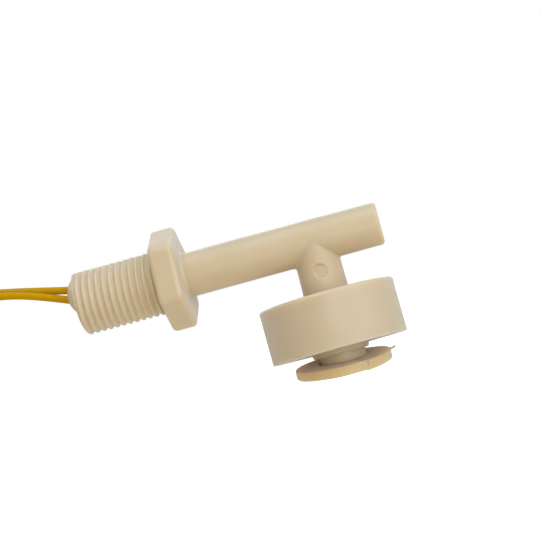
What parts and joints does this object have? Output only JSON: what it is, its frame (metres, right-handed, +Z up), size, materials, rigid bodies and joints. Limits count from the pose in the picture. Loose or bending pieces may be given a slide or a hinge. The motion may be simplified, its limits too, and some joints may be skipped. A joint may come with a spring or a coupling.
{
  "type": "float level switch",
  "caption": "Side-mounted float level switch: a threaded plastic body with a hexagon, a tube and a hanging stem on which a round float slides above a retaining clip.",
  "frame": {"origin": "on the thread's axis, in the face of the hexagon that seals against the vessel wall", "axes": "+X along the thread's axis towards the tube's closed end, +Z up, so that the stem hangs down along -Z as it does in use; -X points out of the vessel, where the wires leave"},
  "size_m": [0.1155, 0.0306, 0.0408],
  "materials": {
    "nylon": "satin, unpainted and slightly translucent",
    "float_plastic": "satin, unpainted",
    "ferrite": "dull, sintered",
    "reed_glass": "clear",
    "reed_metal": "plated",
    "solder": "bright",
    "sleeve": "matt",
    "copper": "bright strands",
    "wire_insulation": "smooth, slightly glossy",
    "epoxy": "cast",
    "tie_plastic": "satin"
  },
  "bodies": {
    "base": {"body": "nylon", "retaining_clip": "nylon", "reed_glass": "reed_glass", "reed_blade_front": "reed_metal", "reed_blade_rear": "reed_metal", "solder_joint_front": "solder", "solder_joint_rear": "solder", "joint_sleeve_front": "sleeve", "joint_sleeve_rear": "sleeve", "conductor_front": "copper", "conductor_rear": "copper", "inner_lead_upper": "wire_insulation", "inner_lead_lower": "wire_insulation", "potting_plug": "epoxy", "reed_potting": "epoxy", "wire_upper": "wire_insulation", "wire_lower": "wire_insulation", "wire_coil": "wire_insulation", "wire_tie": "tie_plastic", "tinned_end_upper": "solder", "tinned_end_lower": "solder"},
    "magnet": {"float_magnet": "ferrite"},
    "float": {"float_shell": "float_plastic", "float_cap": "float_plastic"}
  },
  "joints": [
    {"name": "float_slide", "type": "slide", "parent": "base", "child": "magnet", "axis": [0, 0, 1], "range_m": [0, 0.0066]},
    {"name": "float_spin", "type": "hinge", "parent": "magnet", "child": "float", "pos_m": [0.03373, 0, -0.01785], "axis": [-0.0139, 0.0802, 0.9967], "continuous": true}
  ]
}
